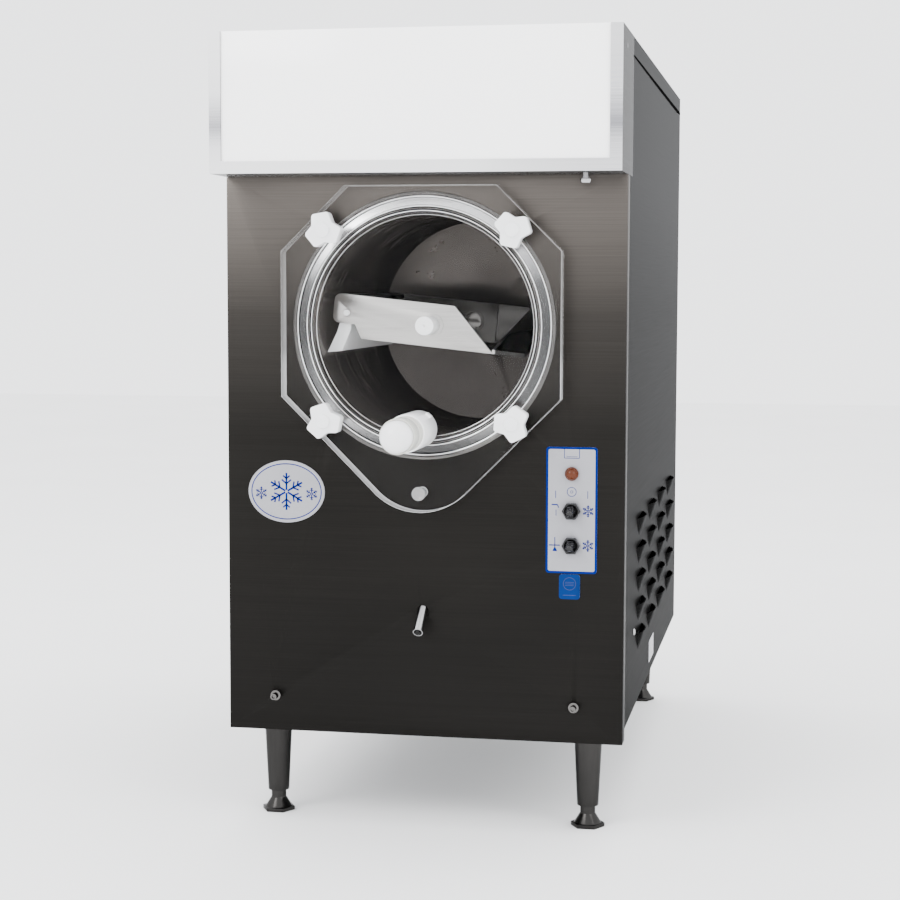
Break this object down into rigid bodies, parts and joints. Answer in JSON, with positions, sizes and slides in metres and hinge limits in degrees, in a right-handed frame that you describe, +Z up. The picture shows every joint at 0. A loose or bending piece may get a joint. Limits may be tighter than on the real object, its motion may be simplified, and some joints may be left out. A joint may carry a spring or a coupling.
{
  "type": "ice cream maker",
  "caption": "Counter-top frozen drink and soft-serve machine: dark steel cabinet on legs, lit white header, clear faceplate over the freezing barrel, front valve.",
  "frame": {"origin": "bottom centre of the bounding box, on the counter", "axes": "+X to the right seen from the front, +Y to the back, +Z up; the faceplate faces -Y"},
  "size_m": [0.4198, 0.8634, 0.8221],
  "materials": {
    "cabinet_steel": "dark brushed stainless sheet",
    "header_steel": "bright brushed stainless",
    "galvanised_steel": "galvanised sheet",
    "sign_acrylic": "opal white acrylic",
    "lamp_glass": "white fluorescent tube",
    "bright_steel": "polished steel",
    "barrel_steel": "satin stainless",
    "copper": "copper tube",
    "foam": "rigid polyurethane foam",
    "clear_acrylic": "clear cast acrylic",
    "gasket_rubber": "black food-grade rubber",
    "white_plastic": "white acetal",
    "natural_plastic": "natural translucent plastic",
    "spring_steel": "stainless wire",
    "dasher_steel": "satin stainless",
    "scraper_plastic": "white scraper plastic",
    "gearbox_iron": "painted cast iron",
    "belt_rubber": "reinforced rubber",
    "motor_paint": "black enamel",
    "aluminium": "mill finish aluminium",
    "black_rubber": "black moulded boot",
    "amber_lens": "amber lens",
    "label_film": "printed film on a plate",
    "leg_steel": "satin steel"
  },
  "bodies": {
    "cabinet": {"base_pan": "galvanised_steel", "frame_rails": "galvanised_steel", "front_panel": "cabinet_steel", "left_side_panel": "cabinet_steel", "right_side_panel": "cabinet_steel", "rear_panel": "cabinet_steel", "top_cover": "cabinet_steel", "header_housing": "header_steel", "sign_lamp": "lamp_glass", "freezing_barrel": "barrel_steel", "evaporator_coil": "copper", "barrel_insulation": "foam", "mix_hopper": "barrel_steel", "faceplate_studs": "bright_steel", "shaft_seal": "gasket_rubber", "gearbox": "gearbox_iron", "drive_belt": "belt_rubber", "drive_motor": "motor_paint", "drive_bulkhead": "galvanised_steel", "compressor": "motor_paint", "condenser": "aluminium", "fan_shroud": "galvanised_steel", "fan_motor": "motor_paint", "refrigerant_lines": "copper", "electrical_box": "galvanised_steel", "toggle_switches": "bright_steel", "pilot_lamp": "amber_lens", "label_plates": "label_film", "name_badge": "label_film", "drip_tube": "bright_steel", "tray_studs": "bright_steel", "cord_gland": "black_rubber", "legs": "leg_steel"},
    "faceplate": {"faceplate": "clear_acrylic", "faceplate_gasket": "gasket_rubber", "nose_plug": "white_plastic", "valve_body": "white_plastic", "valve_collar": "natural_plastic", "valve_spring": "spring_steel"},
    "valve_plunger": {"valve_plunger": "white_plastic"},
    "upper_left_knob": {"upper_left_knob": "white_plastic"},
    "upper_right_knob": {"upper_right_knob": "white_plastic"},
    "lower_left_knob": {"lower_left_knob": "white_plastic"},
    "lower_right_knob": {"lower_right_knob": "white_plastic"},
    "dasher": {"dasher_frame": "dasher_steel", "dasher_bushing": "white_plastic", "drive_shaft": "barrel_steel"},
    "scraper": {"scraper_blade": "scraper_plastic"},
    "gearbox_input": {"gearbox_pulley": "gearbox_iron"},
    "motor_rotor": {"motor_pulley": "gearbox_iron"},
    "fan": {"fan_blade": "aluminium"},
    "sign_panel": {"sign_panel": "sign_acrylic"},
    "hopper_lid": {"hopper_lid": "barrel_steel"},
    "sign_switch": {"sign_switch_knob": "bright_steel"},
    "upper_toggle": {"upper_toggle": "black_rubber"},
    "lower_toggle": {"lower_toggle": "black_rubber"},
    "front_left_foot": {"front_left_foot": "leg_steel"},
    "front_right_foot": {"front_right_foot": "leg_steel"},
    "rear_left_foot": {"rear_left_foot": "leg_steel"},
    "rear_right_foot": {"rear_right_foot": "leg_steel"}
  },
  "joints": [
    {"name": "faceplate_pull", "type": "slide", "parent": "cabinet", "child": "faceplate", "axis": [0, -1, 0], "range_m": [0, 0.15]},
    {"name": "valve_push", "type": "slide", "parent": "faceplate", "child": "valve_plunger", "axis": [0, 1, 0], "range_m": [0, 0.01], "stiffness_N_per_m": 400, "springref_m": -0.012},
    {"name": "upper_left_knob_turn", "type": "hinge", "parent": "faceplate", "child": "upper_left_knob", "pos_m": [-0.0945, -0.31975, 0.6065], "axis": [0, 1, 0], "continuous": true},
    {"name": "upper_right_knob_turn", "type": "hinge", "parent": "faceplate", "child": "upper_right_knob", "pos_m": [0.0945, -0.31975, 0.6065], "axis": [0, 1, 0], "continuous": true},
    {"name": "lower_left_knob_turn", "type": "hinge", "parent": "faceplate", "child": "lower_left_knob", "pos_m": [-0.0945, -0.31975, 0.4175], "axis": [0, 1, 0], "continuous": true},
    {"name": "lower_right_knob_turn", "type": "hinge", "parent": "faceplate", "child": "lower_right_knob", "pos_m": [0.0945, -0.31975, 0.4175], "axis": [0, 1, 0], "continuous": true},
    {"name": "dasher_spin", "type": "hinge", "parent": "cabinet", "child": "dasher", "pos_m": [0, -0.09125, 0.512], "axis": [0, 1, 0], "continuous": true},
    {"name": "scraper_swing", "type": "hinge", "parent": "dasher", "child": "scraper", "pos_m": [-0.0882, -0.13125, 0.52429], "axis": [0, 1, 0], "range_deg": [-12, 0]},
    {"name": "gearbox_input_spin", "type": "hinge", "parent": "cabinet", "child": "gearbox_input", "pos_m": [0, 0.21375, 0.512], "axis": [0, 1, 0], "continuous": true},
    {"name": "motor_spin", "type": "hinge", "parent": "cabinet", "child": "motor_rotor", "pos_m": [0, 0.21375, 0.327], "axis": [0, 1, 0], "continuous": true},
    {"name": "fan_spin", "type": "hinge", "parent": "cabinet", "child": "fan", "pos_m": [0, 0.33375, 0.2208], "axis": [0, 1, 0], "continuous": true},
    {"name": "sign_lift", "type": "slide", "parent": "cabinet", "child": "sign_panel", "axis": [0, 0, 1], "range_m": [0, 0.15]},
    {"name": "lid_lift", "type": "slide", "parent": "cabinet", "child": "hopper_lid", "axis": [0, 0, 1], "range_m": [0, 0.12]},
    {"name": "sign_switch_pull", "type": "slide", "parent": "cabinet", "child": "sign_switch", "axis": [0, 0, -1], "range_m": [0, 0.004]},
    {"name": "upper_toggle_throw", "type": "hinge", "parent": "cabinet", "child": "upper_toggle", "pos_m": [0.1505, -0.30025, 0.33], "axis": [1, 0, 0], "range_deg": [-14, 14]},
    {"name": "lower_toggle_throw", "type": "hinge", "parent": "cabinet", "child": "lower_toggle", "pos_m": [0.1505, -0.30025, 0.2955], "axis": [1, 0, 0], "range_deg": [-14, 14]},
    {"name": "front_left_foot_turn", "type": "hinge", "parent": "cabinet", "child": "front_left_foot", "pos_m": [-0.164, -0.24625, 0.02], "axis": [0, 0, 1], "continuous": true},
    {"name": "rear_left_foot_turn", "type": "hinge", "parent": "cabinet", "child": "rear_left_foot", "pos_m": [-0.164, 0.37475, 0.02], "axis": [0, 0, 1], "continuous": true},
    {"name": "front_right_foot_turn", "type": "hinge", "parent": "cabinet", "child": "front_right_foot", "pos_m": [0.164, -0.24625, 0.02], "axis": [0, 0, 1], "continuous": true},
    {"name": "rear_right_foot_turn", "type": "hinge", "parent": "cabinet", "child": "rear_right_foot", "pos_m": [0.164, 0.37475, 0.02], "axis": [0, 0, 1], "continuous": true}
  ],
  "couplings": [
    {"joint": "gearbox_input_spin", "follows": "dasher_spin", "ratio": 10},
    {"joint": "motor_spin", "follows": "dasher_spin", "ratio": 20}
  ]
}
